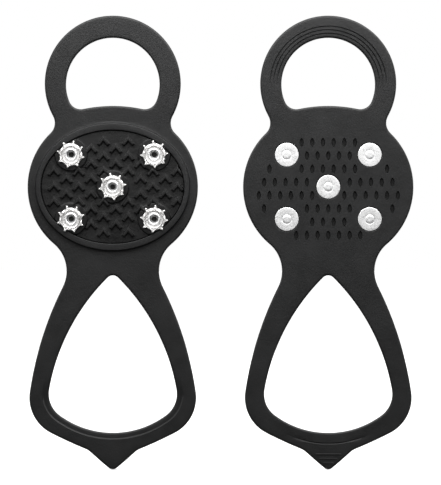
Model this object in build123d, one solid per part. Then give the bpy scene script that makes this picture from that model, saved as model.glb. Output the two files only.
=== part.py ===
from build123d import *
import math
import os

os.makedirs("parts", exist_ok=True)

# A pair of slip-on rubber ice cleats. Each one is a flat rubber moulding: a round toe loop, an oval
# sole plate and a long heel loop that ends in a pull tab. A moulded tread pad sits in the plate's raised
# rim, and five stamped steel crowns are riveted through pad and plate.
#
# Frame: +Z points to the toe, +X runs across the foot, and the left cleat's tread faces -Y. Its sole
# face, which bears on the shoe, is the plane y = 0, with the origin at the plate's centre. The right
# cleat is the same moulding turned half round about Z, so its sole face looks to -Y.
#
# Each piece is drawn in the cleat's own coordinates: u across, v to the toe, w up from the sole face
# to the tread. Every size is in millimetres.

# ---- the pair ----
PAIR_SPACING = 122.0
BODY_THICKNESS = 3.6

# ---- rubber outline ----
TOE_LOOP_V = 58.5
TOE_LOOP_RADIUS = 38.5
TOE_OPENING_V = 58.0
TOE_OPENING_RADIUS = 26.5
TOE_OPENING_CORNER = (21.5, 43.0)
TOE_OPENING_BOTTOM_V = 45.9
TOE_OPENING_CORNER_FILLET = 7.0

PLATE_END_RADIUS = 42.4
PLATE_END_SPACING = 11.6
TOE_NECK_FILLET = 8.0
HEEL_NECK_FILLET = 20.0

ARM_TOP = (19.0, -40.0)
ARM_MIDDLE = (37.5, -78.0)
ARM_END = (47.0, -116.0)
HEEL_CORNER_END = (35.0, -139.3)
TAB_SHOULDER = (14.0, -148.9)
TAB_APEX_V = -161.0
TAB_SHOULDER_FILLET = 7.0
TAB_TIP_FILLET = 3.5

HEEL_OPENING_APEX_V = -48.5
HEEL_OPENING_SIDE = (25.7, -83.0)
HEEL_OPENING_CORNER = (37.2, -123.0)
HEEL_OPENING_BOTTOM_V = -139.2
HEEL_OPENING_APEX_FILLET = 4.0
HEEL_OPENING_CORNER_FILLET = 15.0

# ---- where the rubber flexes; each line lies across the cleat ----
TOE_FOLD_V = 40.5
HEEL_FOLD_V = -45.5
BAND_CURL_V = -111.0
TAB_FLEX_V = -150.0
FLEX_GAP = 0.3

# ---- plate, rim and tread pad ----
RIM_OUTER = (43.5, 36.0)
RIM_INNER = (40.6, 32.2)
RIM_TOP = 6.4
RIM_EDGE = 0.5
RECESS_FLOOR = 2.6
PAD_CLEARANCE = 0.3
PAD_TOP = 4.4
BOSS_RADIUS = 9.2
BOSS_TOP = 6.0
LUG_TOP = 6.2
LUG_COLUMN_PITCH = 7.0
LUG_COLUMN_OFFSET = 1.8
LUG_ROW_PITCH = 8.6
LUG_ROW_OFFSET = 0.3
LUG_HALF_HEIGHT = 2.8
LUG_ARM_DEG = 52.0
LUG_ARM_LENGTH = 6.0
LUG_ARM_WIDTH = 1.9
LUG_TAPER_DEG = 10.0
LUG_BEVEL = 0.25
LUG_BEVEL_DEG = 45.0
LUG_FIELD = (38.7, 29.7)
LUG_STUD_MARGIN = 9.0

# ---- studs ----
STUD_U = 23.5
STUD_V = 18.2
RIVET_HEAD_RADIUS = 6.7
RIVET_HEAD_SEAT = 1.3
RIVET_HEAD_CHAMFER = 0.2
RIVET_MARK_RADII = (2.4, 2.7, 3.0)
RIVET_MARK_DEPTH = 0.15
RIVET_SHANK_RADIUS = 2.8
RIVET_BORE_RADIUS = 2.3
RIVET_BORE_FLOOR = 2.0
RIVET_LIP_RADIUS = 3.7
RIVET_LIP_HEIGHT = 0.95
RIVET_LIP_CURL = 0.35
HEAD_POCKET_RADIUS = 7.1
SHANK_HOLE_RADIUS = 2.9
CROWN_THICKNESS = 0.9
CROWN_FLAT_RADIUS = 5.4
CROWN_TIP_RADIUS = 8.0
CROWN_TIP_HEIGHT = 3.9
CROWN_TEETH = 8
TOOTH_TIP_HALF_WIDTH = 0.75

STUDS = {
    "centre": (0.0, 0.0),
    "toe_left": (-STUD_U, STUD_V),
    "toe_right": (STUD_U, STUD_V),
    "heel_left": (-STUD_U, -STUD_V),
    "heel_right": (STUD_U, -STUD_V),
}

# The crowns aren't indexed when they are riveted, so each one stands at its own angle.
CROWN_TURNS_DEG = {
    "centre": 9.0,
    "toe_left": -13.0,
    "toe_right": 4.0,
    "heel_left": 17.0,
    "heel_right": -6.0,
}

LEFT = Plane.XZ.location
RIGHT = Pos(PAIR_SPACING, -BODY_THICKNESS, 0) * Rot(0, 0, 180) * LEFT


def mirrored(point):
    """The same point on the other side of the cleat's centre line."""
    return (-point[0], point[1])


def concave_corners(sketch, low_v, high_v):
    """The outline's corners between two heights, away from the centre line."""
    return [
        corner
        for corner in sketch.vertices()
        if low_v < corner.Y < high_v and abs(corner.X) > 1
    ]


def heel_outline():
    """The heel loop's outside, from the plate down to the tab's shoulders."""
    right_arm = ThreePointArc(ARM_TOP, ARM_MIDDLE, ARM_END)
    right_corner = TangentArc(ARM_END, HEEL_CORNER_END, tangent=right_arm % 1)
    right_foot = TangentArc(HEEL_CORNER_END, TAB_SHOULDER, tangent=right_corner % 1)
    right_side = [right_arm, right_corner, right_foot]
    left_side = [edge.mirror(Plane.YZ) for edge in right_side]
    top = Line(ARM_TOP, mirrored(ARM_TOP))
    bottom = Line(TAB_SHOULDER, mirrored(TAB_SHOULDER))
    return make_face([*right_side, *left_side, top, bottom])


def tab_outline():
    """The pointed pull tab below the heel loop, with its tip rounded."""
    tab = make_face(Polyline(TAB_SHOULDER, (0, TAB_APEX_V), mirrored(TAB_SHOULDER), close=True))
    tip = tab.vertices().sort_by(Axis.Y)[0]
    return fillet(tip, TAB_TIP_FILLET)


def rubber_outline():
    """The whole moulding's silhouette, before the openings are cut."""
    toe = Pos(0, TOE_LOOP_V) * Circle(TOE_LOOP_RADIUS)
    plate = SlotCenterToCenter(PLATE_END_SPACING, 2 * PLATE_END_RADIUS)
    outline = toe + plate
    outline = fillet(concave_corners(outline, 30, 40), TOE_NECK_FILLET)
    outline = outline + heel_outline()
    outline = fillet(concave_corners(outline, -48, -40), HEEL_NECK_FILLET)
    outline = outline + tab_outline()
    return fillet(concave_corners(outline, -150, -148), TAB_SHOULDER_FILLET)


def toe_opening():
    """The D-shaped hole that the shoe's toe goes through."""
    side_top = (TOE_OPENING_RADIUS, TOE_OPENING_V)
    arch = ThreePointArc(
        side_top, (0, TOE_OPENING_V + TOE_OPENING_RADIUS), mirrored(side_top)
    )
    right_side = TangentArc(side_top, TOE_OPENING_CORNER, tangent=(0, -1))
    left_side = right_side.mirror(Plane.YZ)
    bottom = ThreePointArc(
        TOE_OPENING_CORNER, (0, TOE_OPENING_BOTTOM_V), mirrored(TOE_OPENING_CORNER)
    )
    opening = make_face([arch, right_side, left_side, bottom])
    corners = opening.vertices().sort_by(Axis.Y)[:2]
    return fillet(corners, TOE_OPENING_CORNER_FILLET)


def heel_opening():
    """The long pear-shaped hole that the shoe's heel goes through."""
    apex = (0, HEEL_OPENING_APEX_V)
    right_side = ThreePointArc(apex, HEEL_OPENING_SIDE, HEEL_OPENING_CORNER)
    left_side = right_side.mirror(Plane.YZ)
    bottom = ThreePointArc(
        HEEL_OPENING_CORNER, (0, HEEL_OPENING_BOTTOM_V), mirrored(HEEL_OPENING_CORNER)
    )
    opening = make_face([right_side, left_side, bottom])
    by_height = opening.vertices().sort_by(Axis.Y)
    opening = fillet(by_height[2], HEEL_OPENING_APEX_FILLET)
    corners = opening.vertices().sort_by(Axis.Y)[:2]
    return fillet(corners, HEEL_OPENING_CORNER_FILLET)


def slab_between(low_v, high_v):
    """A block that keeps what lies between two flex lines, half a gap short of each."""
    reach = 400
    middle = (low_v + high_v) / 2
    return Pos(0, middle, 0) * Box(reach, high_v - low_v - FLEX_GAP, reach)


def stud_cylinders(radius, low_w, high_w):
    """One cylinder at every stud, between two levels."""
    middle = (low_w + high_w) / 2
    return [Pos(u, v, middle) * Cylinder(radius, high_w - low_w) for u, v in STUDS.values()]


def make_rubber():
    """The moulding's five stretches, split where the rubber flexes."""
    flat = rubber_outline() - toe_opening() - heel_opening()
    body = extrude(flat, BODY_THICKNESS)
    beyond = 300
    stretches = {
        "toe_loop": body & slab_between(TOE_FOLD_V, beyond),
        "sole_plate": body & slab_between(HEEL_FOLD_V, TOE_FOLD_V),
        "heel_arms": body & slab_between(BAND_CURL_V, HEEL_FOLD_V),
        "heel_band": body & slab_between(TAB_FLEX_V, BAND_CURL_V),
        "pull_tab": body & slab_between(-beyond, TAB_FLEX_V),
    }
    stretches["sole_plate"] = finish_plate(stretches["sole_plate"])
    return stretches


def finish_plate(plate):
    """Adds the raised oval rim, the pad's recess and the rivets' pockets and holes."""
    rim = extrude(Ellipse(*RIM_OUTER), RIM_TOP)
    rim = chamfer(rim.faces().sort_by(Axis.Z)[-1].edges(), RIM_EDGE)
    recess = Pos(0, 0, RECESS_FLOOR) * extrude(Ellipse(*RIM_INNER), RIM_TOP)
    plate = plate + rim - recess
    plate = plate - stud_cylinders(HEAD_POCKET_RADIUS, -1, RIVET_HEAD_SEAT)
    return plate - stud_cylinders(SHANK_HOLE_RADIUS, 0, RIM_TOP)


def make_lug():
    """One arrowhead lug with tapered sides and a bevelled top, its point to the toe."""
    angle = math.radians(LUG_ARM_DEG)
    outer_foot = (
        LUG_ARM_LENGTH * math.cos(angle),
        LUG_HALF_HEIGHT - LUG_ARM_LENGTH * math.sin(angle),
    )
    inner_foot = (
        outer_foot[0] - LUG_ARM_WIDTH * math.sin(angle),
        outer_foot[1] - LUG_ARM_WIDTH * math.cos(angle),
    )
    outline = Polyline(
        (0, LUG_HALF_HEIGHT),
        mirrored(outer_foot),
        mirrored(inner_foot),
        (0, LUG_HALF_HEIGHT - LUG_ARM_WIDTH / math.cos(angle)),
        inner_foot,
        outer_foot,
        close=True,
    )
    height = LUG_TOP - PAD_TOP - LUG_BEVEL
    flank = extrude(make_face(outline), height, taper=LUG_TAPER_DEG)
    top = flank.faces().sort_by(Axis.Z)[-1]
    return flank + extrude(top, LUG_BEVEL, taper=LUG_BEVEL_DEG)


def lug_places():
    """The staggered lattice of lugs inside the pad's oval, clear of the studs."""
    half_u, half_v = LUG_FIELD
    columns = math.ceil(half_u / LUG_COLUMN_PITCH)
    rows = math.ceil(half_v / LUG_ROW_PITCH)
    places = []
    for column in range(-columns, columns + 1):
        stagger = 0 if column % 2 else LUG_ROW_PITCH / 2
        for row in range(-rows, rows + 1):
            u = LUG_COLUMN_OFFSET + column * LUG_COLUMN_PITCH
            v = LUG_ROW_OFFSET + row * LUG_ROW_PITCH + stagger
            inside = (u / half_u) ** 2 + (v / half_v) ** 2 < 1
            clear = min(math.dist((u, v), stud) for stud in STUDS.values()) > LUG_STUD_MARGIN
            if inside and clear:
                places.append((u, v))
    return places


def make_tread_pad():
    """The tread pad: an oval slab with arrowhead lugs, and a boss with a flat seat for each crown."""
    oval = Ellipse(RIM_INNER[0] - PAD_CLEARANCE, RIM_INNER[1] - PAD_CLEARANCE)
    slab = Pos(0, 0, RECESS_FLOOR) * extrude(oval, PAD_TOP - RECESS_FLOOR)
    column = Pos(0, 0, RECESS_FLOOR) * extrude(oval, LUG_TOP)
    bosses = [boss & column for boss in stud_cylinders(BOSS_RADIUS, RECESS_FLOOR, BOSS_TOP)]
    lug = make_lug()
    lugs = [(Pos(u, v, PAD_TOP) * lug) & column for u, v in lug_places()]
    pad = slab + bosses + lugs
    pad = pad - stud_cylinders(CROWN_TIP_RADIUS, BOSS_TOP, LUG_TOP + 1)
    return pad - stud_cylinders(SHANK_HOLE_RADIUS, 0, LUG_TOP + 1)


def make_crown():
    """A stamped star: a flat washer whose rim is bent up into pointed teeth."""
    run = CROWN_TIP_RADIUS - CROWN_FLAT_RADIUS
    length = math.hypot(run, CROWN_TIP_HEIGHT)
    inward = CROWN_THICKNESS * CROWN_TIP_HEIGHT / length
    upward = CROWN_THICKNESS * run / length
    inner_foot_r = CROWN_FLAT_RADIUS - inward + run * (CROWN_THICKNESS - upward) / CROWN_TIP_HEIGHT
    profile = Polyline(
        (SHANK_HOLE_RADIUS, 0),
        (CROWN_FLAT_RADIUS, 0),
        (CROWN_TIP_RADIUS, CROWN_TIP_HEIGHT),
        (CROWN_TIP_RADIUS - inward, CROWN_TIP_HEIGHT + upward),
        (inner_foot_r, CROWN_THICKNESS),
        (SHANK_HOLE_RADIUS, CROWN_THICKNESS),
        close=True,
    )
    cup = revolve(Plane.XZ * make_face(profile), Axis.Z)
    half_pitch = CROWN_TIP_RADIUS * math.sin(math.pi / CROWN_TEETH)
    scallop_r = half_pitch - TOOTH_TIP_HALF_WIDTH
    above = Pos(0, CROWN_TIP_HEIGHT + CROWN_THICKNESS) * Rectangle(2 * scallop_r, 2 * CROWN_THICKNESS)
    gap = Pos(0, CROWN_TIP_HEIGHT) * Circle(scallop_r) + above
    cutter = extrude(Plane.XZ * gap, 2 * CROWN_TIP_RADIUS)
    pitch_deg = 360 / CROWN_TEETH
    cutters = [Rot(0, 0, pitch_deg * (i + 0.5)) * cutter for i in range(CROWN_TEETH)]
    return Pos(0, 0, BOSS_TOP) * (cup - cutters)


def make_rivet():
    """A semi-tubular rivet: a flat head on the sole side and a lip rolled over the crown."""
    lip_foot = BOSS_TOP + CROWN_THICKNESS
    lip_top = lip_foot + RIVET_LIP_HEIGHT
    mark_in, mark_middle, mark_out = RIVET_MARK_RADII
    middle_r = (RIVET_LIP_RADIUS + RIVET_BORE_RADIUS) / 2
    bore_mouth = (RIVET_BORE_RADIUS, lip_top - RIVET_LIP_CURL)
    outline = Polyline(
        bore_mouth,
        (RIVET_BORE_RADIUS, RIVET_BORE_FLOOR),
        (0, RIVET_BORE_FLOOR),
        (0, 0),
        (mark_in, 0),
        (mark_middle, RIVET_MARK_DEPTH),
        (mark_out, 0),
        (RIVET_HEAD_RADIUS - RIVET_HEAD_CHAMFER, 0),
        (RIVET_HEAD_RADIUS, RIVET_HEAD_CHAMFER),
        (RIVET_HEAD_RADIUS, RIVET_HEAD_SEAT),
        (RIVET_SHANK_RADIUS, RIVET_HEAD_SEAT),
        (RIVET_SHANK_RADIUS, lip_foot),
        (RIVET_LIP_RADIUS, lip_foot),
    )
    lip = ThreePointArc((RIVET_LIP_RADIUS, lip_foot), (middle_r, lip_top), bore_mouth)
    return revolve(Plane.XZ * make_face([*outline.edges(), lip]), Axis.Z)


def make_cleat():
    """Every piece of one cleat, by name, in the cleat's own coordinates."""
    pieces = make_rubber()
    pieces["tread_pad"] = make_tread_pad()
    crown = make_crown()
    rivet = make_rivet()
    for place, (u, v) in STUDS.items():
        pieces[f"crown_{place}"] = Pos(u, v, 0) * Rot(0, 0, CROWN_TURNS_DEG[place]) * crown
        pieces[f"rivet_{place}"] = Pos(u, v, 0) * rivet
    return pieces


cleat = make_cleat()
for side, location in {"left": LEFT, "right": RIGHT}.items():
    for name, piece in cleat.items():
        export_step(location * piece, f"parts/{side}_{name}.step")
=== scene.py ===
import math

import bmesh
import bpy
import numpy as np
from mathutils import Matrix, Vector
from mathutils.geometry import delaunay_2d_cdt


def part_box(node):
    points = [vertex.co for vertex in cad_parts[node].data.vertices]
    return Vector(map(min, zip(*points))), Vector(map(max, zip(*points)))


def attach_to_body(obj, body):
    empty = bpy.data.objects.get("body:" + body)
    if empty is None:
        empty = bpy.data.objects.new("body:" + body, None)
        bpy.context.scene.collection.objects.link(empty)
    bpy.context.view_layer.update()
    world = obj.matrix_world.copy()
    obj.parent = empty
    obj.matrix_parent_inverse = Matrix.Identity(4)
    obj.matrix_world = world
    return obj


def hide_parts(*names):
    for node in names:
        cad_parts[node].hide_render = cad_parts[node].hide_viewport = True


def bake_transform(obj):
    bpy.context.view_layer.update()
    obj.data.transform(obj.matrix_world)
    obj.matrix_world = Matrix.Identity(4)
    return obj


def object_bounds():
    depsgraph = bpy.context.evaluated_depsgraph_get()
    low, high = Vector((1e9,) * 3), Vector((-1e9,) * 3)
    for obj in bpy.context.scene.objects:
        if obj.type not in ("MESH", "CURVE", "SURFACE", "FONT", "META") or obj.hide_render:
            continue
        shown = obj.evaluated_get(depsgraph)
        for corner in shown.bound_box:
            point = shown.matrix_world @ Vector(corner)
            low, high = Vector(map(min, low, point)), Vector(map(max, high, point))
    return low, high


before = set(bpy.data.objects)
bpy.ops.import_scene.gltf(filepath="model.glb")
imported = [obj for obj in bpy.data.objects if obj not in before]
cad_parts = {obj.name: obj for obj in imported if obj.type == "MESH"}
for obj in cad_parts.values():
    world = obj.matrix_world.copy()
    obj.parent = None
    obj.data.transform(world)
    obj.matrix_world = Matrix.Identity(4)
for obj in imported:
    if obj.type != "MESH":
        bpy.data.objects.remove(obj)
cad_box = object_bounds()

# The rubber is modelled in the cleat's own coordinates, in millimetres: u across, v to the toe, and
# w up from the sole face to the tread. place() carries them to the row frame, in metres.
MM = 0.001
RUBBER_NODES = ("toe_loop", "sole_plate", "heel_arms", "heel_band", "pull_tab")
STUD_NAMES = ("centre", "toe_left", "toe_right", "heel_left", "heel_right")

# ---- moulding details ----
EDGE_ROUND = 1.05
EDGE_STEPS = 5
OUTLINE_STEP = 1.25
LATTICE_STEP = 2.3
LATTICE_MARGIN = 1.0
RIM_STEPS = 180

# ---- where the moulding is parted into pieces, and how far each bend reaches either side ----
PLATE_REACH = 37.0
ARMS_PART_V = -80.0
BAND_PART_V = -144.5


def mm_box(node):
    """A CAD node's lowest and highest corner, in millimetres."""
    low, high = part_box(node)
    return np.array(low) / MM, np.array(high) / MM


strap_low, strap_high = mm_box("left_toe_loop")
plate_low, _ = mm_box("left_sole_plate")
pad_low, pad_high = mm_box("left_tread_pad")
THICKNESS = strap_high[1] - strap_low[1]
RIM_TOP = -plate_low[1]
RECESS_FLOOR = -pad_high[1]
LUG_TOP = -pad_low[1]
LUG_RISE = 1.8
PAD_TOP = LUG_TOP - LUG_RISE
PAD_HALF = (pad_high - pad_low) / 2
crown_low, crown_high = mm_box("left_crown_centre")
BOSS_TOP = -crown_high[1]
rivet_low, rivet_high = mm_box("left_rivet_centre")
right_low, right_high = mm_box("right_sole_plate")
RIGHT_U = (right_low[0] + right_high[0]) / 2


def stud_places():
    """The middle of each stud, in the cleat's plane."""
    places = []
    for name in STUD_NAMES:
        low, high = mm_box(f"left_rivet_{name}")
        places.append(((low[0] + high[0]) / 2, (low[2] + high[2]) / 2))
    return np.array(places)


STUDS = stud_places()


def place(points, side):
    """Cleat coordinates to the row frame."""
    points = np.asarray(points, float)
    if side == "left":
        x, y = points[:, 0], -points[:, 2]
    else:
        x, y = RIGHT_U - points[:, 0], points[:, 2] - THICKNESS
    return np.column_stack([x, y, points[:, 1]]) * MM


# ---- the outline, read from the CAD's sole faces ----


def face_edges(node):
    """The boundary edges of a node's sole face, as pairs of points in the cleat's plane."""
    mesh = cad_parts[node].data
    corners = np.array([v.co for v in mesh.vertices]) / MM
    counts = {}
    for face in mesh.polygons:
        ring = [tuple(np.round(corners[i], 4)) for i in face.vertices]
        if all(abs(point[1]) < 1e-3 for point in ring):
            for a, b in zip(ring, ring[1:] + ring[:1]):
                key = tuple(sorted([(a[0], a[2]), (b[0], b[2])]))
                counts[key] = counts.get(key, 0) + 1
    return [key for key, count in counts.items() if count == 1]


def chains(edges):
    """Joins edges end to end into the longest runs of points."""
    links = {}
    for a, b in edges:
        links.setdefault(a, []).append(b)
        links.setdefault(b, []).append(a)
    ends = [p for p in sorted(links) if len(links[p]) == 1]
    runs, used = [], set()
    for start in ends + sorted(links):
        if start in used:
            continue
        run = [start]
        used.add(start)
        while True:
            ahead = [p for p in links[run[-1]] if p not in used]
            if not ahead:
                break
            run.append(ahead[0])
            used.add(ahead[0])
        runs.append(run)
    return runs


# A run smaller than the first is a rivet's pocket, ends closer than the second join across a flex
# line, and an edge along a flex line is longer than the third.
LARGEST_POCKET = 20
LONGEST_GAP = 1.0
SHORTEST_FLEX_EDGE = 2.0


def outline_loops():
    """The moulding's outer loop and its two openings, joined across the flex lines."""
    runs = []
    for node in RUBBER_NODES:
        low, high = mm_box(f"left_{node}")
        for run in chains(face_edges(f"left_{node}")):
            points = np.array(run)
            size = points.max(0) - points.min(0)
            is_pocket = node == "sole_plate" and size.max() < LARGEST_POCKET
            if not is_pocket:
                runs.extend(open_runs(points, low[2], high[2]))
    loops = []
    while runs:
        loop = runs.pop(0)
        while runs:
            gaps = [
                min(math.dist(loop[-1], run[0]), math.dist(loop[-1], run[-1])) for run in runs
            ]
            nearest = int(np.argmin(gaps))
            if gaps[nearest] > min(LONGEST_GAP, math.dist(loop[-1], loop[0])):
                break
            run = runs.pop(nearest)
            if math.dist(loop[-1], run[0]) > math.dist(loop[-1], run[-1]):
                run = run[::-1]
            loop = np.vstack([loop, run])
        loops.append(loop)
    loops.sort(key=lambda loop: -len(loop))
    loops.sort(key=lambda loop: -np.ptp(loop[:, 1]))
    outer, heel, toe = loops[0], loops[1], loops[2]
    return {"outer": smooth_loop(outer), "heel": smooth_loop(heel), "toe": smooth_loop(toe)}


def open_runs(points, low_v, high_v):
    """Parts a closed run where it follows a flex line, and drops the straight edge there."""
    along_low = np.abs(points[:, 1] - low_v) < 1e-2
    along_high = np.abs(points[:, 1] - high_v) < 1e-2
    step = np.roll(np.arange(len(points)), -1)
    cut = (along_low & along_low[step]) | (along_high & along_high[step])
    long_enough = np.linalg.norm(points[step] - points, axis=1) > SHORTEST_FLEX_EDGE
    cut &= long_enough
    if not cut.any():
        return [points]
    runs, marks = [], np.flatnonzero(cut)
    for i, mark in enumerate(marks):
        stop = marks[(i + 1) % len(marks)]
        count = (stop - mark) % len(points) or len(points)
        runs.append(points[(mark + 1 + np.arange(count)) % len(points)])
    return [run for run in runs if len(run) > 1]


def smooth_loop(points):
    """The same loop, evenly spaced on a smooth curve, going anticlockwise."""
    keep = np.linalg.norm(points - np.roll(points, 1, axis=0), axis=1) > 0.05
    points = points[keep]
    x, y = points[:, 0], points[:, 1]
    if np.sum(x * np.roll(y, -1) - y * np.roll(x, -1)) < 0:
        points = points[::-1]
    ahead, behind = np.roll(points, -1, axis=0), np.roll(points, 1, axis=0)
    run = np.linalg.norm(ahead - points, axis=1)
    back = np.roll(run, 1)
    slope = (ahead - points) / run[:, None] * back[:, None]
    slope += (points - behind) / back[:, None] * run[:, None]
    slope /= (run + back)[:, None]
    along = np.concatenate([[0], np.cumsum(run)])
    count = int(round(along[-1] / OUTLINE_STEP))
    wanted = np.linspace(0, along[-1], count, endpoint=False)
    i = np.clip(np.searchsorted(along, wanted, side="right") - 1, 0, len(points) - 1)
    j = (i + 1) % len(points)
    t = ((wanted - along[i]) / run[i])[:, None]
    h = run[i][:, None]
    return (
        (2 * t**3 - 3 * t**2 + 1) * points[i]
        + (t**3 - 2 * t**2 + t) * h * slope[i]
        + (-2 * t**3 + 3 * t**2) * points[j]
        + (t**3 - t**2) * h * slope[j]
    )


def offset(loop, distance):
    """The loop moved to its own left, which is inwards on an anticlockwise loop."""
    ahead, behind = np.roll(loop, -1, axis=0), np.roll(loop, 1, axis=0)
    tangent = ahead - behind
    tangent /= np.linalg.norm(tangent, axis=1)[:, None]
    return loop + distance * np.column_stack([-tangent[:, 1], tangent[:, 0]])


def inside(points, loop):
    """Which of the points lie inside the loop."""
    x, y = points[:, 0][:, None], points[:, 1][:, None]
    x0, y0 = loop[:, 0], loop[:, 1]
    x1, y1 = np.roll(x0, -1), np.roll(y0, -1)
    spans = (y0 > y) != (y1 > y)
    with np.errstate(divide="ignore", invalid="ignore"):
        cross = x < (x1 - x0) * (y - y0) / (y1 - y0) + x0
    return np.sum(spans & cross, axis=1) % 2 == 1


def smoothstep(value, low, high):
    """0 up to low, 1 from high on, and smooth between."""
    t = np.clip((np.asarray(value, float) - low) / (high - low), 0, 1)
    return t * t * (3 - 2 * t)


# ---- one face of the moulding ----


class Sheet:
    """One face of the moulding: loops and points with levels, triangulated together.

    A level is the height above the face's own plane; depressions are negative."""

    def __init__(self):
        self.points, self.levels, self.edges = [], [], []
        self.count = 0

    def loop(self, points, level):
        """Adds a closed loop that the triangles keep, and returns its first index."""
        first, n = self.count, len(points)
        self.points.append(np.asarray(points, float))
        self.levels.append(np.broadcast_to(np.asarray(level, float), (n,)).copy())
        self.edges += [(first + i, first + (i + 1) % n) for i in range(n)]
        self.count += n
        return first

    def dots(self, points, level):
        """Adds loose points."""
        self.points.append(np.asarray(points, float))
        self.levels.append(np.full(len(points), float(level)))
        self.count += len(points)

    def fill(self, outer, holes, default=0.0):
        """(points, levels, triangles, index of each added point) inside outer and in no hole.

        A point that two loops make by crossing gets the default level."""
        points, levels = np.vstack(self.points), np.concatenate(self.levels)
        flat, _, faces, origin, _, _ = delaunay_2d_cdt(
            [Vector(p) for p in points], self.edges, [], 0, 1e-6
        )
        flat = np.array([tuple(p) for p in flat])
        faces = np.array([f for f in faces if len(f) == 3])
        middle = flat[faces].mean(axis=1)
        keep = inside(middle, outer)
        for hole in holes:
            keep &= ~inside(middle, hole)
        level = np.array([levels[o[0]] if o else default for o in origin])
        found = np.full(len(points), -1)
        for i, sources in enumerate(origin):
            for source in sources:
                found[source] = i
        return flat, level, faces[keep], found


def lattice(loops, feature_points):
    """Staggered points over the moulding, clear of every loop and feature."""
    low, high = loops["outer"].min(0), loops["outer"].max(0)
    rows = np.arange(low[1], high[1], LATTICE_STEP * math.sqrt(3) / 2)
    grid = []
    for i, v in enumerate(rows):
        start = low[0] + (LATTICE_STEP / 2 if i % 2 else 0)
        for u in np.arange(start, high[0], LATTICE_STEP):
            grid.append((u, v))
    grid = np.array(grid)
    keep = inside(grid, loops["outer"]) & ~inside(grid, loops["toe"]) & ~inside(grid, loops["heel"])
    grid = grid[keep]
    near = np.vstack([*loops.values(), *feature_points])
    closest = np.full(len(grid), np.inf)
    for block in np.array_split(near, max(1, len(near) // 400)):
        gap = np.linalg.norm(grid[:, None] - block[None], axis=2).min(axis=1)
        closest = np.minimum(closest, gap)
    return grid[closest > LATTICE_MARGIN]


def ellipse(half_u, half_v, count=RIM_STEPS):
    """Points round an oval at the plate's centre, anticlockwise."""
    angle = np.linspace(0, 2 * math.pi, count, endpoint=False)
    return np.column_stack([half_u * np.cos(angle), half_v * np.sin(angle)])


def unit_circle(count):
    """Points round a circle of radius 1, anticlockwise."""
    return ellipse(1, 1, count)


LENS_POINTEDNESS = 0.35


def lens(u, v, half_width, half_height, count=12):
    """A pointed upright oval about one point, for the grip dimples."""
    angle = np.linspace(0, 2 * math.pi, count, endpoint=False)
    across = half_width * np.cos(angle) * np.abs(np.cos(angle)) ** LENS_POINTEDNESS
    return np.column_stack([u + across, v + half_height * np.sin(angle)])


def bar(u, v, half_length, half_width, count=16):
    """A round-ended bar across the cleat, for the tab's ribs."""
    angle = np.linspace(0, 2 * math.pi, count, endpoint=False)
    side = np.where(np.cos(angle) >= 0, 1, -1)
    return np.column_stack(
        [
            u + side * (half_length - half_width) + half_width * np.cos(angle),
            v + half_width * np.sin(angle),
        ]
    )


def subdivided(loop, step):
    """The same loop with points at most about one step apart."""
    points = []
    for a, b in zip(loop, np.roll(loop, -1, axis=0)):
        count = max(1, round(math.dist(a, b) / step))
        points.extend(a + (b - a) * k / count for k in range(count))
    return np.array(points)


# ---- the features of each face ----

RIM_HALF = (43.5, 36.0)
RIM_FOOT_REACH = 1.1
PAD_CLEARANCE = 0.3
DIMPLE_PITCH = (6.05, 7.5)
DIMPLE_ROW_SHIFT = 0.36
DIMPLE_STUD_MARGIN = 2.0
DIMPLE_HALF = (1.25, 2.6)
DIMPLE_FLOOR_SHARE = (0.72, 0.8)
DIMPLE_DEPTH = 1.1
DIMPLE_FIELD = (41.0, 33.5)
POCKET_RADIUS = 7.1
POCKET_DEPTH = 1.3
POCKET_STEPS = 48
POCKET_SOFT_EDGE = 0.25
POCKET_SOFT_DROP = 0.2
TOE_GROOVES = (2.4, 4.4, 6.4)
GROOVE_HALF_WIDTH = 0.4
GROOVE_DEPTH = 0.4
GROOVE_FADE = (52, 66)
HEEL_LIP_OFFSET = 3.0
HEEL_LIP_DROP = 0.8
HEEL_LIP_BEVEL = 0.75
HEEL_LIP_FADE = (108, 124)
HEEL_STEP_OFFSET = 5.6
HEEL_STEP_HALF_WIDTH = 0.45
HEEL_STEP_FADE = (134, 139)
RIB_ROWS = ((-151.3, 7.4), (-153.9, 5.2), (-156.3, 3.0))
RIB_HALF_WIDTH = 0.55
RIB_HEIGHT = 0.35


def dimple_centres():
    """The staggered field of dimples inside the oval, clear of the rivets' heads."""
    places = []
    for row in range(-4, 4):
        v = (row + DIMPLE_ROW_SHIFT) * DIMPLE_PITCH[1]
        shift = DIMPLE_PITCH[0] / 2 if row % 2 else 0
        for column in range(-8, 9):
            u = column * DIMPLE_PITCH[0] + shift
            in_field = (u / DIMPLE_FIELD[0]) ** 2 + (v / DIMPLE_FIELD[1]) ** 2 < 1
            reach = np.linalg.norm(STUDS - (u, v), axis=1).min()
            if in_field and reach > POCKET_RADIUS + DIMPLE_STUD_MARGIN:
                places.append((u, v))
    return places


def rounding(loop, sign, level_at_rest):
    """Loops that round an edge over, from the wall to the face: (points, level) pairs."""
    rings = []
    for k in range(EDGE_STEPS + 1):
        turn = k / EDGE_STEPS * math.pi / 2
        inset = EDGE_ROUND * (1 - math.cos(turn))
        drop = EDGE_ROUND * (1 - math.sin(turn))
        rings.append((offset(loop, sign * inset), level_at_rest - drop))
    return rings


class Skin:
    """Gathers points and faces of the whole moulding."""

    def __init__(self):
        self.points, self.faces, self.count = [], [], 0

    def add(self, plane, w):
        """Adds points at heights w, and returns the first index."""
        first = self.count
        w = np.broadcast_to(np.asarray(w, float), (len(plane),))
        self.points.append(np.column_stack([plane, w]))
        self.count += len(plane)
        return first

    def ring(self, first, second, count, flip=False):
        """Quads between two rings of points."""
        for i in range(count):
            j = (i + 1) % count
            quad = (first + i, first + j, second + j, second + i)
            self.faces.append(quad[::-1] if flip else quad)


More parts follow.
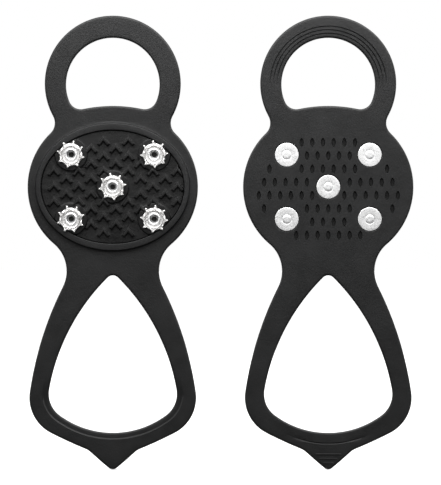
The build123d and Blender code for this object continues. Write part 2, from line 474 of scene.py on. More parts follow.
def opening_levels(loop, kind, face):
    """How much lower the face is beside an opening, at each point of its loop."""
    if kind == "heel" and face == "tread":
        return -HEEL_LIP_DROP * smoothstep(-loop[:, 1], *HEEL_LIP_FADE)
    return np.zeros(len(loop))


def build_face(skin, loops, face):
    """Adds one face of the moulding, with its rounded edges, and returns each loop's wall ring."""
    tread = face == "tread"
    height = (lambda level: THICKNESS + level) if tread else (lambda level: -level)
    sheet = Sheet()
    walls, firsts, rims = {}, {}, {}
    for kind, loop in loops.items():
        sign = 1 if kind == "outer" else -1
        beside = opening_levels(loop, kind, face)
        rings = rounding(loop, sign, beside)
        walls[kind] = [skin.add(points, height(level)) for points, level in rings[:-1]]
        points, level = rings[-1]
        firsts[kind] = sheet.loop(points, level)
        rims[kind] = points
    features = list(rims.values())

    def keep(points, level):
        sheet.loop(points, level)
        features.append(points)

    holes = [rims["toe"], rims["heel"]]
    heel, toe = loops["heel"], loops["toe"]
    if tread:
        window = smoothstep(-heel[:, 1], *HEEL_LIP_FADE)
        keep(offset(heel, -(EDGE_ROUND + HEEL_LIP_OFFSET) / 2), -HEEL_LIP_DROP * window)
        keep(offset(heel, -HEEL_LIP_OFFSET), -HEEL_LIP_DROP * window)
        keep(offset(heel, -HEEL_LIP_OFFSET - HEEL_LIP_BEVEL), 0)
        foot = ellipse(RIM_HALF[0] + RIM_FOOT_REACH, RIM_HALF[1] + RIM_FOOT_REACH)
        rim_foot = sheet.loop(foot, 0)
        features.append(foot)
        holes.append(foot)
    else:
        window = smoothstep(toe[:, 1], *GROOVE_FADE)
        for groove in TOE_GROOVES:
            for across, share in ((-1, 0), (0, 1), (1, 0)):
                points = offset(toe, -groove - across * GROOVE_HALF_WIDTH)
                keep(points, -GROOVE_DEPTH * share * window)
        for u, v in dimple_centres():
            keep(lens(u, v, *DIMPLE_HALF), 0)
            floor_half = (half * share for half, share in zip(DIMPLE_HALF, DIMPLE_FLOOR_SHARE))
            keep(lens(u, v, *floor_half), -DIMPLE_DEPTH)
        for stud in STUDS:
            wall = stud + POCKET_RADIUS * unit_circle(POCKET_STEPS)
            keep(stud + (POCKET_RADIUS + POCKET_SOFT_EDGE) * unit_circle(POCKET_STEPS), 0)
            sheet.loop(wall, -POCKET_SOFT_DROP)
            holes.append(wall)
        window = smoothstep(-heel[:, 1], *HEEL_STEP_FADE)
        for across, share in ((0, 0), (1, 1), (2, 0)):
            points = offset(heel, -HEEL_STEP_OFFSET - across * HEEL_STEP_HALF_WIDTH)
            keep(points, -GROOVE_DEPTH * share * window)
        for v, half_length in RIB_ROWS:
            keep(subdivided(bar(0, v, half_length, RIB_HALF_WIDTH), OUTLINE_STEP), 0)
            sheet.loop(bar(0, v, half_length - 0.25, RIB_HALF_WIDTH * 0.5), RIB_HEIGHT)
    sheet.dots(lattice(loops, features), 0)
    flat, level, triangles, found = sheet.fill(rims["outer"], holes)
    base = skin.add(flat, height(level))
    for a, b, c in triangles + base:
        skin.faces.append((a, b, c) if tread else (a, c, b))
    for kind, loop in loops.items():
        count = len(loop)
        inner = found[firsts[kind] : firsts[kind] + count] + base
        outward = kind == "outer"
        flip = outward != tread
        rings = walls[kind]
        for first, second in zip(rings, rings[1:]):
            skin.ring(first, second, count, flip)
        last = rings[-1]
        for i in range(count):
            j = (i + 1) % count
            quad = (last + i, last + j, inner[j], inner[i])
            skin.faces.append(quad[::-1] if flip else quad)
    if tread:
        add_rim(skin, found[rim_foot : rim_foot + RIM_STEPS] + base)
    else:
        add_pockets(skin, sheet, found, base)
    return {kind: rings[0] for kind, rings in walls.items()}


def add_rim(skin, foot):
    """The raised oval rim, from its foot on the plate over its flat top to the recess floor."""
    inner_half = (PAD_HALF[0] + PAD_CLEARANCE, PAD_HALF[2] + PAD_CLEARANCE)
    top = RIM_TOP
    # Each ring is an oval, how far it stands out from that oval, and its height.
    rings = [
        (RIM_HALF, 0.45, THICKNESS + 0.12),
        (RIM_HALF, 0.12, THICKNESS + 0.5),
        (RIM_HALF, 0.0, THICKNESS + 1.0),
        (RIM_HALF, -0.05, top - 0.5),
        (RIM_HALF, -0.2, top - 0.15),
        (RIM_HALF, -0.5, top),
        (inner_half, 0.45, top),
        (inner_half, 0.15, top - 0.12),
        (inner_half, 0.02, top - 0.45),
        (inner_half, 0.0, RECESS_FLOOR),
    ]
    previous = foot
    for half, grow, w in rings:
        first = skin.add(ellipse(half[0] + grow, half[1] + grow), w)
        current = first + np.arange(RIM_STEPS)
        for i in range(RIM_STEPS):
            j = (i + 1) % RIM_STEPS
            skin.faces.append((previous[i], previous[j], current[j], current[i]))
        previous = current
    middle = skin.add(np.zeros((1, 2)), RECESS_FLOOR)
    for i in range(RIM_STEPS):
        skin.faces.append((previous[i], previous[(i + 1) % RIM_STEPS], middle))


def add_pockets(skin, sheet, found, base):
    """The round pockets that the rivets' heads sit in."""
    points = np.vstack(sheet.points)
    for u, v in STUDS:
        reach = np.linalg.norm(points - (u, v), axis=1)
        edge = np.flatnonzero(np.abs(reach - POCKET_RADIUS) < 1e-6)
        lip = found[edge] + base
        floor = skin.add(points[edge], POCKET_DEPTH)
        middle = skin.add(np.array([[u, v]]), POCKET_DEPTH)
        count = len(edge)
        for i in range(count):
            j = (i + 1) % count
            skin.faces.append((lip[i], lip[j], floor + j, floor + i))
            skin.faces.append((floor + i, floor + j, middle))


def build_skin():
    """The whole moulding as one closed mesh, in the cleat's own coordinates."""
    loops = outline_loops()
    skin = Skin()
    top = build_face(skin, loops, "tread")
    bottom = build_face(skin, loops, "sole")
    for kind, loop in loops.items():
        skin.ring(bottom[kind], top[kind], len(loop), flip=kind != "outer")
    return np.vstack(skin.points), skin.faces


def part_mesh(points, faces, side, low_v, high_v):
    """The stretch of the moulding between two heights, as a closed bmesh in the row frame."""
    work = solid(points, faces, side)
    for v, outward in ((low_v, -1), (high_v, 1)):
        if v is None:
            continue
        everything = work.verts[:] + work.edges[:] + work.faces[:]
        cut = bmesh.ops.bisect_plane(
            work,
            geom=everything,
            dist=1e-7,
            plane_co=(0, 0, v * MM),
            plane_no=(0, 0, outward),
            clear_outer=True,
        )
        edges = [e for e in cut["geom_cut"] if isinstance(e, bmesh.types.BMEdge)]
        bmesh.ops.holes_fill(work, edges=edges, sides=0)
    loose = [v for v in work.verts if not v.link_faces]
    bmesh.ops.delete(work, geom=loose, context="VERTS")
    bmesh.ops.recalc_face_normals(work, faces=work.faces[:])
    return work


def make_object(name, work, material):
    """A mesh object from a bmesh, smooth but for its sharp edges."""
    mesh = bpy.data.meshes.new(name)
    work.to_mesh(mesh)
    work.free()
    mesh.materials.append(material)
    for face in mesh.polygons:
        face.use_smooth = True
    made = bpy.data.objects.new(name, mesh)
    bpy.context.scene.collection.objects.link(made)
    mesh.set_sharp_from_angle(angle=math.radians(38))
    even = made.modifiers.new("even_shading", "WEIGHTED_NORMAL")
    even.keep_sharp = True
    return made


# ---- tread pad ----

PAD_EDGE = 0.25
PAD_STEPS = 240
BOSS_RADIUS = 9.2
BOSS_STEPS = 72
LUG_COLUMN_PITCH = 7.0
LUG_COLUMN_OFFSET = 1.8
LUG_ROW_PITCH = 8.6
LUG_ROW_OFFSET = 0.3
LUG_HALF_HEIGHT = 2.8
LUG_ARM_ANGLE = math.radians(52.0)
LUG_ARM_LENGTH = 6.0
LUG_ARM_WIDTH = 1.9
LUG_FIELD = (38.7, 29.7)
LUG_STUD_MARGIN = 9.0
LUG_FOOT_CORNER = 0.45
LUG_TOP_CORNER = 0.22
LUG_REACH = 6
# Within the first of these distances from a stud the lugs are cut down to the boss, and beyond the
# second they have their full height.
LUG_CUT_BACK = (7.6, 8.6)
SHANK_RADIUS = 2.9

# How a lug and a boss rise: (distance in from the foot, share of the height).
LUG_FLANK = ((-0.32, 0.0), (-0.1, 0.05), (0.0, 0.18), (0.22, 0.86), (0.31, 0.96), (0.48, 1.0))
BOSS_FLANK = ((-0.35, 0.0), (-0.1, 0.06), (0.0, 0.2), (0.12, 0.82), (0.22, 0.95), (0.42, 1.0))


def lug_corners():
    """The foot of one arrowhead lug about its own middle, anticlockwise from its point."""
    cosine, sine = math.cos(LUG_ARM_ANGLE), math.sin(LUG_ARM_ANGLE)
    outer = (LUG_ARM_LENGTH * cosine, LUG_HALF_HEIGHT - LUG_ARM_LENGTH * sine)
    inner = (outer[0] - LUG_ARM_WIDTH * sine, outer[1] - LUG_ARM_WIDTH * cosine)
    notch = (0, LUG_HALF_HEIGHT - LUG_ARM_WIDTH / cosine)
    left = [(-outer[0], outer[1]), (-inner[0], inner[1])]
    return np.array([(0, LUG_HALF_HEIGHT), *left, notch, inner, outer])


def lug_places():
    """The staggered lattice of lugs inside the pad's oval, clear of the studs."""
    places = []
    for column in range(-6, 7):
        stagger = 0 if column % 2 else LUG_ROW_PITCH / 2
        for row in range(-5, 5):
            u = LUG_COLUMN_OFFSET + column * LUG_COLUMN_PITCH
            v = LUG_ROW_OFFSET + row * LUG_ROW_PITCH + stagger
            inside_field = (u / LUG_FIELD[0]) ** 2 + (v / LUG_FIELD[1]) ** 2 < 1
            reach = np.linalg.norm(STUDS - (u, v), axis=1).min()
            if inside_field and reach > LUG_STUD_MARGIN:
                places.append((u, v))
    return np.array(places)


def inset_corners(corners, distance):
    """A polygon with each side moved in by the distance."""
    ahead = np.roll(corners, -1, axis=0) - corners
    ahead /= np.linalg.norm(ahead, axis=1)[:, None]
    normal = np.column_stack([-ahead[:, 1], ahead[:, 0]])
    before = np.roll(normal, 1, axis=0)
    share = 1 + np.sum(normal * before, axis=1)
    return corners + distance * (normal + before) / share[:, None]


def round_corners(corners, cut, steps=3):
    """A polygon with each corner replaced by a short curve."""
    points = []
    count = len(corners)
    for i, corner in enumerate(corners):
        before, after = corners[i - 1] - corner, corners[(i + 1) % count] - corner
        start = corner + before / np.linalg.norm(before) * cut
        end = corner + after / np.linalg.norm(after) * cut
        for k in range(steps + 1):
            t = k / steps
            points.append((1 - t) ** 2 * start + 2 * t * (1 - t) * corner + t * t * end)
    return np.array(points)


def inset_of_lugs(points, places):
    """How far each point lies inside the nearest lug's foot; negative outside."""
    corners = lug_corners()
    deepest = np.full(len(points), -np.inf)
    for place_uv in places:
        near = np.abs(points - place_uv).max(axis=1) < LUG_REACH
        local = points[near] - place_uv
        if not len(local):
            continue
        gap = np.full(len(local), np.inf)
        for a, b in zip(corners, np.roll(corners, -1, axis=0)):
            side = b - a
            t = np.clip(((local - a) @ side) / (side @ side), 0, 1)
            gap = np.minimum(gap, np.linalg.norm(local - a - t[:, None] * side, axis=1))
        signed = np.where(inside(local, corners), gap, -gap)
        deepest[near] = np.maximum(deepest[near], signed)
    return deepest


def along(flank, inset):
    """The share of its height that a flank has reached at an inset."""
    return np.interp(inset, [step[0] for step in flank], [step[1] for step in flank])


def build_tread():
    """The tread pad as one closed mesh: slab, bosses and lugs, with softened edges."""
    boss_rise, lug_rise = BOSS_TOP - PAD_TOP, LUG_TOP - PAD_TOP
    half = np.array([PAD_HALF[0], PAD_HALF[2]])
    edge = ellipse(*half, count=PAD_STEPS)
    sheet = Sheet()
    sheet.loop(edge, np.nan)
    sheet.loop(ellipse(*(half - PAD_EDGE), count=PAD_STEPS), np.nan)
    circle = unit_circle(BOSS_STEPS)
    holes = [stud + SHANK_RADIUS * circle for stud in STUDS]
    for stud, hole in zip(STUDS, holes):
        sheet.loop(hole, np.nan)
        for inset, _ in BOSS_FLANK:
            sheet.loop(stud + (BOSS_RADIUS - inset) * circle, np.nan)
    places = lug_places()
    for middle in places:
        for inset, share in LUG_FLANK:
            corners = inset_corners(lug_corners(), inset)
            cut = LUG_FOOT_CORNER if inset < 0.2 else LUG_TOP_CORNER
            sheet.loop(middle + round_corners(corners, cut), share * lug_rise)
    flat, level, triangles, _ = sheet.fill(edge, holes, default=np.nan)
    lugs = along(LUG_FLANK, inset_of_lugs(flat, places)) * lug_rise
    level = np.where(np.isnan(level), lugs, level)
    reach = np.linalg.norm(flat[:, None] - STUDS[None], axis=2).min(axis=1)
    bosses = along(BOSS_FLANK, BOSS_RADIUS - reach) * boss_rise
    ceiling = boss_rise + (lug_rise - boss_rise) * smoothstep(reach, *LUG_CUT_BACK)
    level = np.maximum(np.minimum(level, ceiling), bosses)
    oval = np.linalg.norm(flat / half, axis=1)
    slope = np.maximum(np.linalg.norm(flat / half**2, axis=1), 1e-9)
    from_edge = (1 - oval) * oval / slope
    level -= PAD_EDGE * np.clip(1 - from_edge / PAD_EDGE, 0, 1)
    top = np.column_stack([flat, PAD_TOP + level])
    bottom = np.column_stack([flat, np.full(len(flat), RECESS_FLOOR)])
    return close_slab(top, bottom, triangles)


def close_slab(top, bottom, triangles):
    """A closed mesh from a sheet's top and its flat underside, with walls round its edges."""
    count = len(top)
    faces = [tuple(t) for t in triangles]
    faces += [(a + count, c + count, b + count) for a, b, c in triangles]
    sides = dict.fromkeys(edge for a, b, c in triangles for edge in ((a, b), (b, c), (c, a)))
    for a, b in sides:
        if (b, a) not in sides:
            faces.append((b, a, a + count, b + count))
    return np.vstack([top, bottom]), faces


# ---- studs ----

CROWN_TEETH = 8
CROWN_THICKNESS = 0.9
CROWN_FLAT_RADIUS = 5.4
CROWN_TIP_RADIUS = 8.0
CROWN_TIP_HEIGHT = 3.9
CROWN_TIP_HALF_WIDTH = 0.75
CROWN_BEND_RADIUS = 1.25
CROWN_EDGE = 0.16
HEAD_EDGE = 0.2
MARK_RADIUS = 2.7
MARK_HALF_WIDTH = 0.34
MARK_DEPTH = 0.05
LIP_RADIUS = 3.7
BORE_RADIUS = 2.3
BORE_FLOOR = 2.0
BORE_MOUTH_DEPTH = 3.0
LATHE_STEPS = 72
# The crowns aren't indexed when they are riveted, so each one stands at its own angle, in degrees.
CROWN_TURNS = {
    "centre": 9.0,
    "toe_left": -13.0,
    "toe_right": 4.0,
    "heel_left": 17.0,
    "heel_right": -6.0,
}


def rim_of_crown(inset, slope_radius):
    """The toothed rim as (angle, height), all round, with its outline moved in by the inset."""
    half_pitch = CROWN_TIP_RADIUS * math.sin(math.pi / CROWN_TEETH)
    scallop = half_pitch - CROWN_TIP_HALF_WIDTH + inset
    last = math.radians(66)
    turn = np.linspace(0, last, 8)
    across, height = scallop * np.sin(turn), CROWN_TIP_HEIGHT - scallop * np.cos(turn)
    tip = np.array([half_pitch, CROWN_TIP_HEIGHT - inset])
    start = np.array([across[-1], height[-1]])
    heading = np.array([math.cos(last), math.sin(last)])
    bend = start + (tip[1] - start[1]) / math.sin(last) * heading
    bend[0] = min(bend[0], half_pitch - 0.05)
    t = np.linspace(0, 1, 6)[1:, None]
    curve = (1 - t) ** 2 * start + 2 * t * (1 - t) * bend + t * t * tip
    across, height = np.append(across, curve[:, 0]), np.append(height, curve[:, 1])
    angle = np.arcsin(across / slope_radius(height))
    pitch = 2 * math.pi / CROWN_TEETH
    angle = np.concatenate([angle, pitch - angle[-2:0:-1]])
    height = np.concatenate([height, height[-2:0:-1]])
    starts = (np.arange(CROWN_TEETH) + 0.5) * pitch
    return (starts[:, None] + angle[None]).ravel(), np.tile(height, CROWN_TEETH)


def build_crown():
    """A stamped star as one closed mesh about its own axis, standing on w = 0."""
    run = CROWN_TIP_RADIUS - CROWN_FLAT_RADIUS
    lean = math.atan2(CROWN_TIP_HEIGHT, run)
    bend_reach = CROWN_BEND_RADIUS * math.tan(lean / 2)
    bend_start = CROWN_FLAT_RADIUS - bend_reach

    def slope_radius(height):
        return CROWN_FLAT_RADIUS + run * height / CROWN_TIP_HEIGHT

    def on_flank(length, depth):
        r = CROWN_FLAT_RADIUS + length * math.cos(lean) - depth * math.sin(lean)
        return r, length * math.sin(lean) + depth * math.cos(lean)

    rim_angle, rim_height = rim_of_crown(0, slope_radius)
    inner_angle, inner_height = rim_of_crown(CROWN_EDGE, slope_radius)
    rim_length, inner_length = rim_height / math.sin(lean), inner_height / math.sin(lean)
    thick, soft = CROWN_THICKNESS, CROWN_EDGE
    rows = []

    def flat_rows(depth, radii):
        for r in radii:
            rows.append((rim_angle, r, depth))

    def bend_rows(depth, shares):
        for share in shares:
            turn = lean * share
            reach = CROWN_BEND_RADIUS - depth
            r = bend_start + reach * math.sin(turn)
            rows.append((rim_angle, r, CROWN_BEND_RADIUS - reach * math.cos(turn)))

    def flank_rows(depth, shares):
        for share in shares:
            length = bend_reach + share * (inner_length - bend_reach)
            angle = rim_angle + share**2 * (inner_angle - rim_angle)
            rows.append((angle, *on_flank(length, depth)))

    mid_angle = rim_angle * 0.7 + inner_angle * 0.3
    mid_length = rim_length * 0.7 + inner_length * 0.3
    flat_rows(0, (SHANK_RADIUS + soft, 3.8, bend_start))
    bend_rows(0, (0.25, 0.5, 0.75, 1))
    flank_rows(0, (0.35, 0.7, 1))
    rows.append((mid_angle, *on_flank(mid_length, 0.3 * soft)))
    rows.append((rim_angle, *on_flank(rim_length, soft)))
    rows.append((rim_angle, *on_flank(rim_length, thick - soft)))
    rows.append((mid_angle, *on_flank(mid_length, thick - 0.3 * soft)))
    flank_rows(thick, (1, 0.7, 0.35))
    bend_rows(thick, (1, 0.75, 0.5, 0.25))
    flat_rows(thick, (bend_start, 3.8, SHANK_RADIUS + soft))
    flat_rows(thick - soft, (SHANK_RADIUS,))
    flat_rows(soft, (SHANK_RADIUS,))
    points = [
        np.column_stack(np.broadcast_arrays(r * np.cos(angle), r * np.sin(angle), w))
        for angle, r, w in rows
    ]
    return np.vstack(points), tube_faces(len(rows), len(rim_angle), closed=True)


def tube_faces(rows, columns, closed):
    """Quads over rows of points, each row a ring; closed joins the last row to the first."""
    faces = []
    for row in range(rows if closed else rows - 1):
        below, above = row * columns, (row + 1) % rows * columns
        for i in range(columns):
            j = (i + 1) % columns
            faces.append((below + i, below + j, above + j, above + i))
    return faces


def rivet_profile(head_radius, lip_foot, lip_top):
    """The rivet's half section from the middle of its head round to the floor of its bore."""
    quarter = np.linspace(0, math.pi / 2, 4)
    mark = [
        (MARK_RADIUS + x, MARK_DEPTH * math.cos(x / MARK_HALF_WIDTH * math.pi / 2))
        for x in np.linspace(-MARK_HALF_WIDTH, MARK_HALF_WIDTH, 5)
    ]
    head_edge = [
        (head_radius - HEAD_EDGE + HEAD_EDGE * math.sin(a), HEAD_EDGE - HEAD_EDGE * math.cos(a))
        for a in quarter
    ]
    middle, half_width = (LIP_RADIUS + BORE_RADIUS) / 2, (LIP_RADIUS - BORE_RADIUS) / 2
    rise = lip_top - lip_foot
    lip = [
        (middle + half_width * math.cos(a), lip_foot + rise * math.sin(a) ** 0.8)
        for a in np.linspace(0.05, math.pi * 0.8, 12)
    ]
    shank = SHANK_RADIUS - 0.1
    return [
        (0, 0),
        (1.2, 0),
        *mark,
        (4.6, 0),
        *head_edge,
        (head_radius, POCKET_DEPTH),
        (shank, POCKET_DEPTH),
        (shank, lip_foot),
        (LIP_RADIUS - 0.08, lip_foot),
        *lip,
        (BORE_RADIUS, lip_foot - 0.4),
        (BORE_RADIUS, BORE_FLOOR + 0.9),
        (0, BORE_FLOOR),
    ]


def lathe(profile):
    """A closed mesh turned from a half section that starts and ends on the axis."""
    angle = np.linspace(0, 2 * math.pi, LATHE_STEPS, endpoint=False)
    rings = [
        np.column_stack(np.broadcast_arrays(r * np.cos(angle), r * np.sin(angle), w))
        for r, w in profile[1:-1]
    ]
    count = LATHE_STEPS
    faces = tube_faces(len(rings), count, closed=False)
    ends = [(0, 0, profile[0][1]), (0, 0, profile[-1][1])]
    first, last = len(rings) * count, (len(rings) - 1) * count
    for i in range(count):
        j = (i + 1) % count
        faces.append((first, j, i))
        faces.append((first + 1, last + i, last + j))
    return np.vstack([*rings, ends]), faces


def solid(points, faces, side):
    """A bmesh in the row frame from a mesh in the cleat's own coordinates."""
    work = bmesh.new()
    made = [work.verts.new(p) for p in place(points, side)]
    for face in faces:
        work.faces.new([made[i] for i in face])
    loose = [v for v in work.verts if not v.link_faces]
    bmesh.ops.delete(work, geom=loose, context="VERTS")
    bmesh.ops.recalc_face_normals(work, faces=work.faces[:])
    return work


# ---- materials ----


class Nodes:
    """A small helper for building a material's node tree."""

    def __init__(self, name):
        self.material = bpy.data.materials.new(name)
        self.material.use_nodes = True
        self.tree = self.material.node_tree
        self.shader = self.tree.nodes["Principled BSDF"]
        self.place = self.tree.nodes.new("ShaderNodeTexCoord").outputs["Object"]

    def add(self, kind, **inputs):
        """A node with its named inputs set, or linked where the value is a socket."""
        node = self.tree.nodes.new(kind)
        for key, value in inputs.items():
            self.put(node.inputs[key.replace("_", " ")], value)
        return node

    def put(self, socket, value):
        """Sets or links one socket."""
        if isinstance(value, bpy.types.NodeSocket):
            self.tree.links.new(value, socket)
        else:
            socket.default_value = value

    def noise(self, scale, detail=3.0, roughness=0.5):
        """Noise over the object's own coordinates; scale is in waves per metre."""
        node = self.add(
            "ShaderNodeTexNoise", Vector=self.place, Scale=scale, Detail=detail, Roughness=roughness
        )
        return node.outputs["Fac"]

    def span(self, value, low, high, from_low=0.3, from_high=0.7):
        """The value carried from one range to another."""
        node = self.tree.nodes.new("ShaderNodeMapRange")
        self.put(node.inputs["Value"], value)
        for key, number in (
            ("From Min", from_low),
            ("From Max", from_high),
            ("To Min", low),
            ("To Max", high),
        ):
            node.inputs[key].default_value = number
        return node.outputs["Result"]

    def ramp(self, value, *stops):
        """A colour ramp through (position, colour) stops."""
        node = self.add("ShaderNodeValToRGB", Fac=value)
        elements = node.color_ramp.elements
        while len(elements) < len(stops):
            elements.new(0.5)
        for element, (position, colour) in zip(elements, stops):
            element.position = position
            element.color = (*colour, 1)
        return node.outputs["Color"]

    def bump(self, height, strength, distance, normal=None):
        """A bump from a height, over an earlier one if given."""
        node = self.add("ShaderNodeBump", Height=height, Strength=strength, Distance=distance)
        if normal is not None:
            self.tree.links.new(normal, node.inputs["Normal"])
        return node.outputs["Normal"]

    def set(self, **inputs):
        """Sets or links the shader's own sockets."""
        for key, value in inputs.items():
            self.put(self.shader.inputs[key.replace("_", " ")], value)


def grey(value, warm=0.0):
    """A grey, slightly warm or cool."""
    return (value * (1 + warm), value, value * (1 - warm))


def rubber(name, dark, light, rough_low, rough_high, grain, gloss):
    """Moulded rubber: a fine grain, mottled gloss and a dusting of lighter bloom."""
    nodes = Nodes(name)
    mottle = nodes.noise(38, 4.0, 0.6)
    fine = nodes.noise(2600, 2.0, 0.6)
    colour = nodes.ramp(mottle, (0.3, dark), (0.7, light))
    rough = nodes.span(nodes.noise(120, 3.0), rough_low, rough_high)
    nodes.set(Base_Color=colour, Roughness=rough, Specular_IOR_Level=gloss)
    coarse = nodes.bump(nodes.noise(420, 3.0), 0.2, 0.0003)
    pebble = nodes.bump(nodes.noise(1100, 2.0), grain, 0.00012, coarse)
    nodes.set(Normal=nodes.bump(fine, grain, 0.00006, pebble))
    return nodes.material


def steel(name, dark, light, rough_low, rough_high, scratch, dent):
    """Bright plated steel with faint cloudiness and fine scratches."""
    nodes = Nodes(name)
    cloud = nodes.noise(260, 4.0, 0.6)
    nodes.set(Metallic=1.0, Base_Color=nodes.ramp(cloud, (0.3, dark), (0.7, light)))
    nodes.set(Roughness=nodes.span(nodes.noise(900, 3.0), rough_low, rough_high))
    ding = nodes.bump(nodes.noise(500, 3.0), dent, 0.0002)
    nodes.set(Normal=nodes.bump(nodes.noise(3800, 2.0), scratch, 0.00005, ding))
    return nodes.material


BODY = rubber("body_rubber_look", grey(0.004, -0.02), grey(0.007, -0.02), 0.34, 0.46, 0.6, 0.27)
# The tread's darker colour is painted shade of the recess inside the rim; its lower roughness is
# its glossier finish.
TREAD = rubber("tread_rubber_painted_shade_look", grey(0.002), grey(0.004), 0.2, 0.32, 0.15, 0.3)
# The dimple floors' darker rubber is painted shade in the dimples.
RECESS = rubber("dimple_painted_shade_rubber_look", grey(0.003), grey(0.005), 0.5, 0.6, 0.3, 0.14)
CROWN = steel("crown_steel_look", grey(0.66, 0.01), grey(0.86, 0.01), 0.18, 0.34, 0.25, 0.25)
RIVET = steel("rivet_steel_look", grey(0.8), grey(0.92), 0.24, 0.36, 0.12, 0.07)
# The bore's darker steel is painted shade inside the rivet's hollow.
BORE = steel("bore_painted_shade_steel_look", grey(0.3), grey(0.42), 0.35, 0.5, 0.3, 0.25)


# ---- the pieces ----

# Each stretch of the moulding: its lower and upper ends, the CAD node that it stands for, the two
# bodies that it joins, and where its bend starts and ends.
STRETCHES = {
    "toe_strap": (PLATE_REACH, None, "toe_loop", ("sole", "toe"), (PLATE_REACH + 0.5, 49.0)),
    "plate_cover": (-PLATE_REACH, PLATE_REACH, "sole_plate", ("sole",), None),
    "heel_straps": (
        ARMS_PART_V,
        -PLATE_REACH,
        "heel_arms",
        ("sole", "arms"),
        (-PLATE_REACH - 0.5, -56.0),
    ),
    "heel_sling": (BAND_PART_V, ARMS_PART_V, "heel_band", ("arms", "band"), (-97.0, -125.0)),
    "pull_ear": (None, BAND_PART_V, "pull_tab", ("band", "tab"), (-145.5, -154.5)),
}


def attach(piece, side, node):
    """Rides a stud or tread piece on its cleat's sole, in place of its CAD node."""
    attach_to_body(piece, f"{side}_sole")
    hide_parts(f"{side}_{node}")


def paint_bore_shade(rivet, side, stud):
    """Paints shade inside the rivet's bore: its faces there get a darker, duller steel."""
    rivet.data.materials.append(BORE)
    axis = place([(*stud, 0)], side)[0]
    mouth = place([(0, 0, -crown_low[1] - BORE_MOUTH_DEPTH)], side)[0][1]
    floor = place([(0, 0, BORE_FLOOR - 0.01)], side)[0][1]
    for face in rivet.data.polygons:
        reach = math.hypot(face.center.x - axis[0], face.center.z - axis[2]) / MM
        deep = min(floor, mouth) < face.center.y < max(floor, mouth)
        if reach < BORE_RADIUS + 0.02 and deep:
            face.material_index = 1


def paint_dimple_shade(cover, side):
    """Paints shade on the floors of the grip dimples with a darker, duller rubber."""
    cover.data.materials.append(RECESS)
    origin = place([(0, 0, 0)], side)[0]
    for face in cover.data.polygons:
        u, v = (face.center.x - origin[0]) / MM, (face.center.z - origin[2]) / MM
        depth = abs(face.center.y - origin[1]) / MM
        in_field = (u / DIMPLE_FIELD[0]) ** 2 + (v / DIMPLE_FIELD[1]) ** 2 < 1.1
        if in_field and DIMPLE_DEPTH / 3 < depth < DIMPLE_DEPTH + 0.05:
            face.material_index = 1


def dress(side, points, faces):
    """One cleat's rubber pieces, tread pad, crowns and rivets, in place of its CAD pieces."""
    for name, (low_v, high_v, node, bodies, bend) in STRETCHES.items():
        work = part_mesh(points, faces, side, low_v, high_v)
        made = make_object(f"{side}_{name}", work, BODY)
        if bend is None:
            paint_dimple_shade(made, side)
            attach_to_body(made, f"{side}_{bodies[0]}")
        else:
            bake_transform(made)
        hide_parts(f"{side}_{node}")
    tread = make_object(f"{side}_tread", solid(*TREAD_MESH, side), TREAD)
    attach(tread, side, "tread_pad")
    for stud, (u, v) in zip(STUD_NAMES, STUDS):
        points, faces = CROWN_MESH
        turn = math.radians(CROWN_TURNS[stud])
        cosine, sine = math.cos(turn), math.sin(turn)
        spin = np.array([[cosine, sine, 0], [-sine, cosine, 0], [0, 0, 1]])
        work = solid(points @ spin + (u, v, BOSS_TOP), faces, side)
        crown = make_object(f"{side}_star_{stud}", work, CROWN)
        attach(crown, side, f"crown_{stud}")
        points, faces = RIVET_MESH
        work = solid(points + (u, v, 0), faces, side)
        rivet = make_object(f"{side}_hollow_rivet_{stud}", work, RIVET)
        paint_bore_shade(rivet, side, (u, v))
        attach(rivet, side, f"rivet_{stud}")


TREAD_MESH = build_tread()
CROWN_MESH = build_crown()
RIVET_MESH = lathe(
    rivet_profile((rivet_high[0] - rivet_low[0]) / 2, BOSS_TOP + CROWN_THICKNESS, -rivet_low[1])
)
skin_points, skin_faces = build_skin()
for cleat_side in ("left", "right"):
    dress(cleat_side, skin_points, skin_faces)


# ---- floor, light and camera ----

low, high = (Vector(corner) for corner in cad_box)
centre = (low + high) / 2
height = high.z - low.z


def make_floor():
    """A wide pale floor just below the pull tabs."""
    nodes = Nodes("floor_look")
    nodes.set(Base_Color=(0.86, 0.86, 0.86, 1), Roughness=0.7)
    work = bmesh.new()
    bmesh.ops.create_circle(work, cap_ends=True, radius=12, segments=96)
    floor = make_object("floor", work, nodes.material)
    floor.location = (centre.x, centre.y, low.z - 0.0003)
    floor.visible_diffuse = False
    floor.visible_glossy = False


def make_light(name, offset_m, size_m, watts):
    """A soft rectangular light aimed at the pair's middle."""
    data = bpy.data.lights.new(name, "AREA")
    data.shape = "RECTANGLE"
    data.size, data.size_y = size_m
    data.energy = watts
    lamp = bpy.data.objects.new(name, data)
    lamp.location = centre + Vector(offset_m)
    lamp.rotation_euler = (centre - lamp.location).to_track_quat("-Z", "Y").to_euler()
    lamp.visible_camera = False
    bpy.context.scene.collection.objects.link(lamp)


# The studio's brightness from straight down to straight up, as (share of the way, radiance).
SKY = ((0.0, 0.22), (0.48, 0.14), (0.56, 0.2), (0.72, 1.15), (1.0, 1.8))


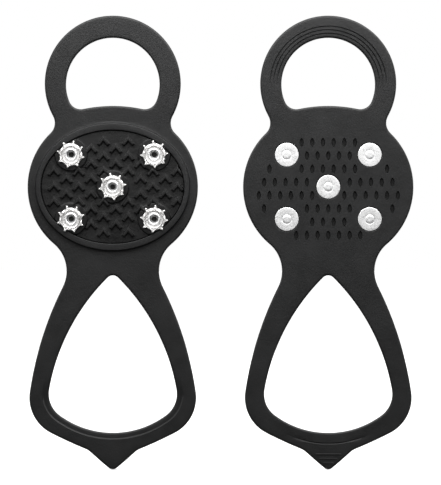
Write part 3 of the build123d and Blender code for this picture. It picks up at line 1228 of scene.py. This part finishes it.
def make_world():
    """A white surround that lights the pair softly from above."""
    world = bpy.data.worlds.new("studio")
    world.use_nodes = True
    tree = world.node_tree
    seen = tree.nodes["Background"]
    seen.inputs["Color"].default_value = (1, 1, 1, 1)
    lit = tree.nodes.new("ShaderNodeBackground")
    place_in_sky = tree.nodes.new("ShaderNodeTexCoord")
    axes = tree.nodes.new("ShaderNodeSeparateXYZ")
    height = tree.nodes.new("ShaderNodeMapRange")
    height.inputs["From Min"].default_value = -1
    ramp = tree.nodes.new("ShaderNodeValToRGB")
    path = tree.nodes.new("ShaderNodeLightPath")
    mix = tree.nodes.new("ShaderNodeMixShader")
    elements = ramp.color_ramp.elements
    while len(elements) < len(SKY):
        elements.new(0.5)
    for element, (position, value) in zip(elements, SKY):
        element.position = position
        element.color = (value, value, value, 1)
    tree.links.new(place_in_sky.outputs["Generated"], axes.inputs["Vector"])
    tree.links.new(axes.outputs["Z"], height.inputs["Value"])
    tree.links.new(height.outputs["Result"], ramp.inputs["Fac"])
    tree.links.new(ramp.outputs["Color"], lit.inputs["Color"])
    tree.links.new(path.outputs["Is Camera Ray"], mix.inputs["Fac"])
    tree.links.new(lit.outputs["Background"], mix.inputs[1])
    tree.links.new(seen.outputs["Background"], mix.inputs[2])
    tree.links.new(mix.outputs["Shader"], tree.nodes["World Output"].inputs["Surface"])
    bpy.context.scene.world = world
    bpy.context.scene.view_settings.view_transform = "Standard"


def make_camera():
    """A long lens, square on to the pair, which it frames with a small margin."""
    distance, share = 1.7, 0.935
    data = bpy.data.cameras.new("camera")
    data.lens = data.sensor_width / 2 / (height / share / 2 / distance)
    camera = bpy.data.objects.new("camera", data)
    camera.location = centre + Vector((0, -distance, 0))
    camera.rotation_euler = (math.pi / 2, 0, 0)
    bpy.context.scene.collection.objects.link(camera)
    bpy.context.scene.camera = camera


make_floor()
make_world()
make_light("key", (0.02, -0.2, 0.28), (0.6, 0.2), 2.7)
make_light("front", (0.0, -1.8, 0.62), (1.6, 1.0), 8)
make_light("back", (0.2, 1.7, 0.65), (1.6, 1.0), 9)
make_light("left_side", (-1.3, -0.4, 0.25), (0.4, 1.2), 5)
make_light("right_side", (1.3, -0.4, 0.25), (0.4, 1.2), 5)
make_camera()
